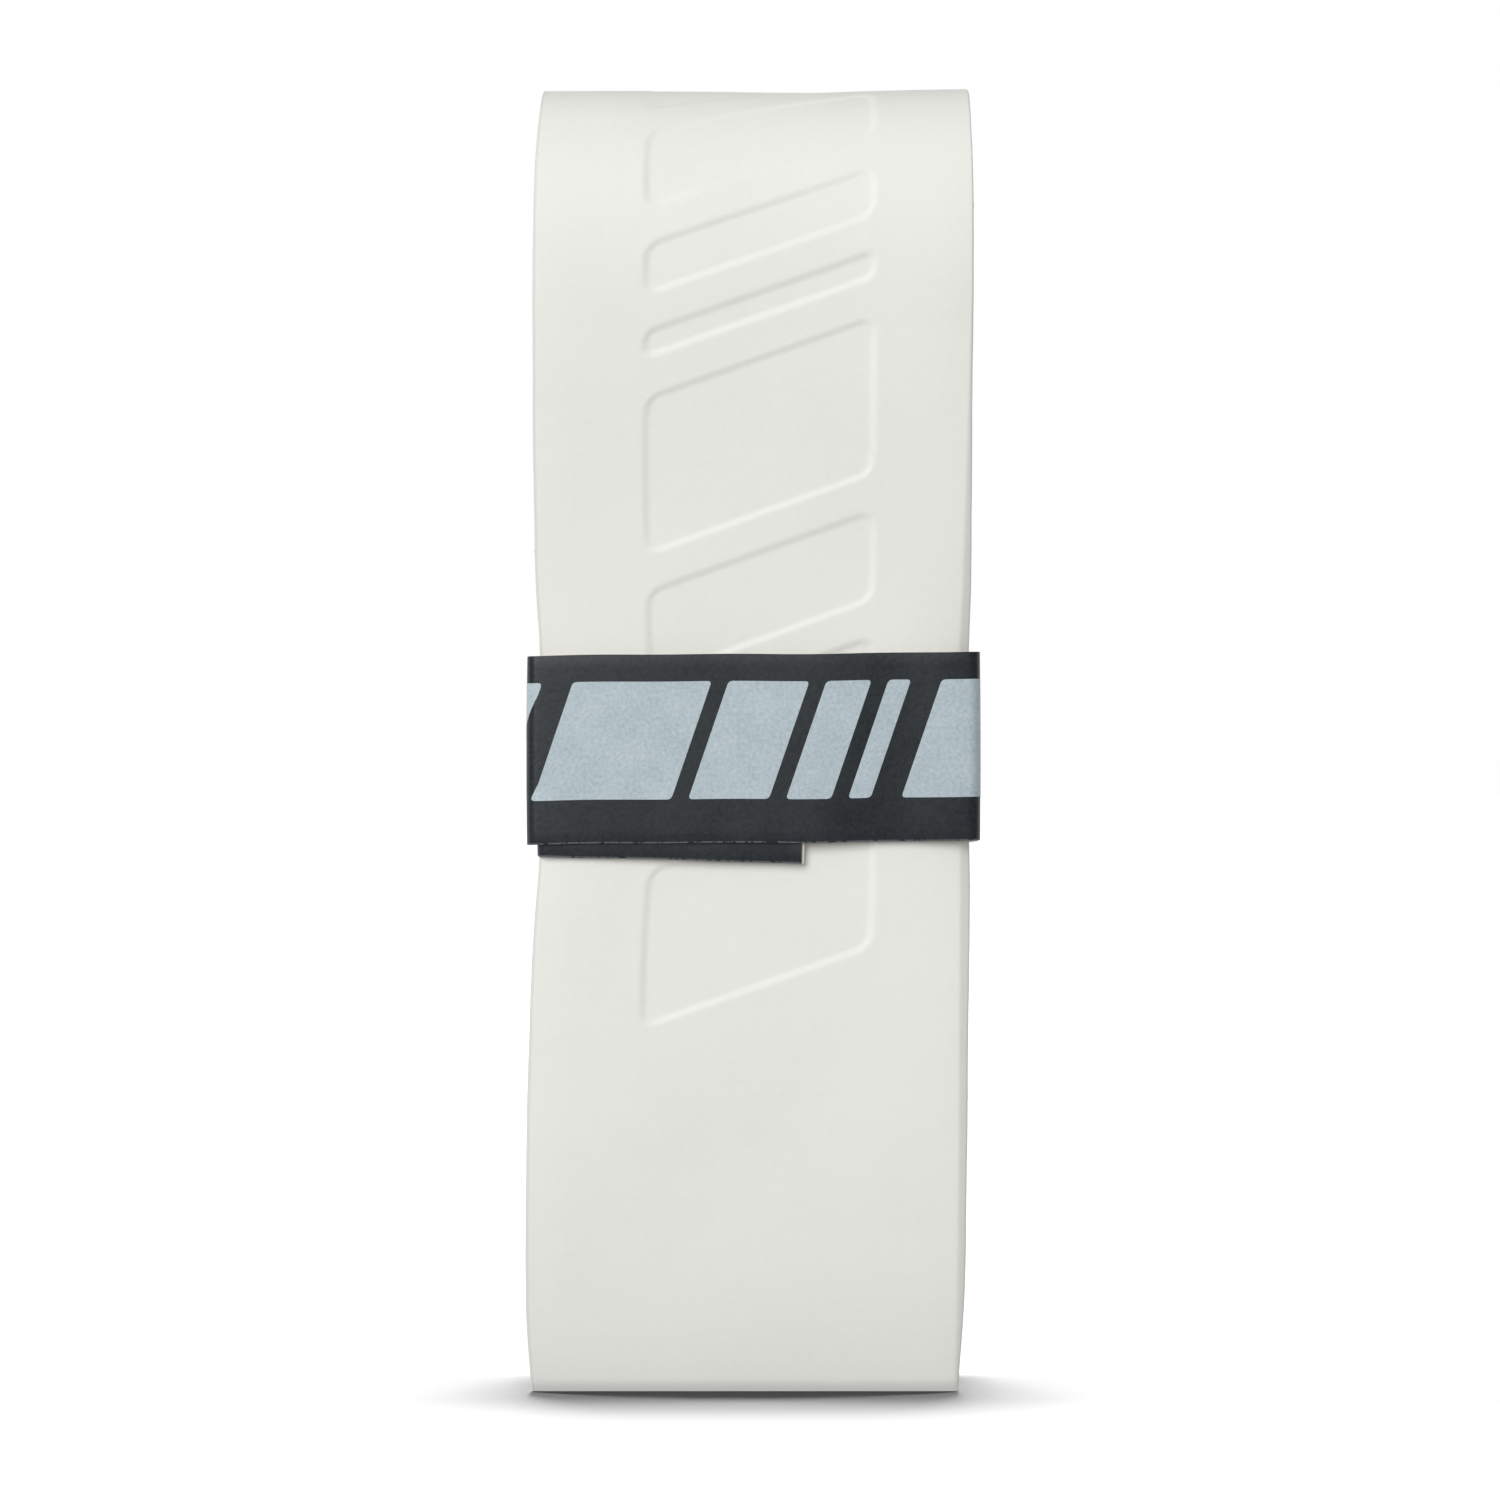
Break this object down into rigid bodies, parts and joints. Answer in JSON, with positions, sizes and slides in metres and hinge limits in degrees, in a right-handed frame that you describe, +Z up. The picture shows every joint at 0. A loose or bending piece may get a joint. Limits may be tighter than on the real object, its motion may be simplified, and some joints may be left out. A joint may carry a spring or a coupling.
{
  "type": "grip tape roll",
  "caption": "Flattened coil of smooth cushioned racket grip tape, held round the waist by a printed strip of finishing tape.",
  "frame": {"origin": "centre of the bounding box's bottom face: on the surface that the roll stands on, below the middle of its width and depth", "axes": "+X across the tape's width, -Y the front with the printed band's uninterrupted face, +Z up along the roll's long side"},
  "size_m": [0.028, 0.0192, 0.0815],
  "materials": {
    "grip_polyurethane": "smooth, slightly tacky satin",
    "cushion_felt": "needled felt",
    "adhesive": "clear, glossy",
    "release_paper": "siliconised, smooth",
    "black_vinyl": "satin, fine grain"
  },
  "bodies": {
    "roll": {"grip_skin": "grip_polyurethane", "grip_cushion": "cushion_felt", "adhesive_strip": "adhesive", "adhesive_liner": "release_paper"},
    "tail": {"tail_skin": "grip_polyurethane", "tail_cushion": "cushion_felt", "tail_adhesive": "adhesive", "tail_liner": "release_paper"},
    "band": {"finishing_tape": "black_vinyl", "finishing_adhesive": "adhesive"},
    "band_end": {"finishing_tape_end": "black_vinyl", "finishing_end_adhesive": "adhesive"}
  },
  "joints": [
    {"name": "tail_lift", "type": "hinge", "parent": "roll", "child": "tail", "pos_m": [0.00011, 0.009, 0.0315], "axis": [1, 0, 0], "range_deg": [0, 90]},
    {"name": "band_slide", "type": "slide", "parent": "roll", "child": "band", "axis": [0, 0, 1], "range_m": [0, 0.05]},
    {"name": "end_peel", "type": "hinge", "parent": "band", "child": "band_end", "pos_m": [-0.00889, 0.00957, 0.04005], "axis": [0, 0, 1], "range_deg": [0, 150]}
  ]
}
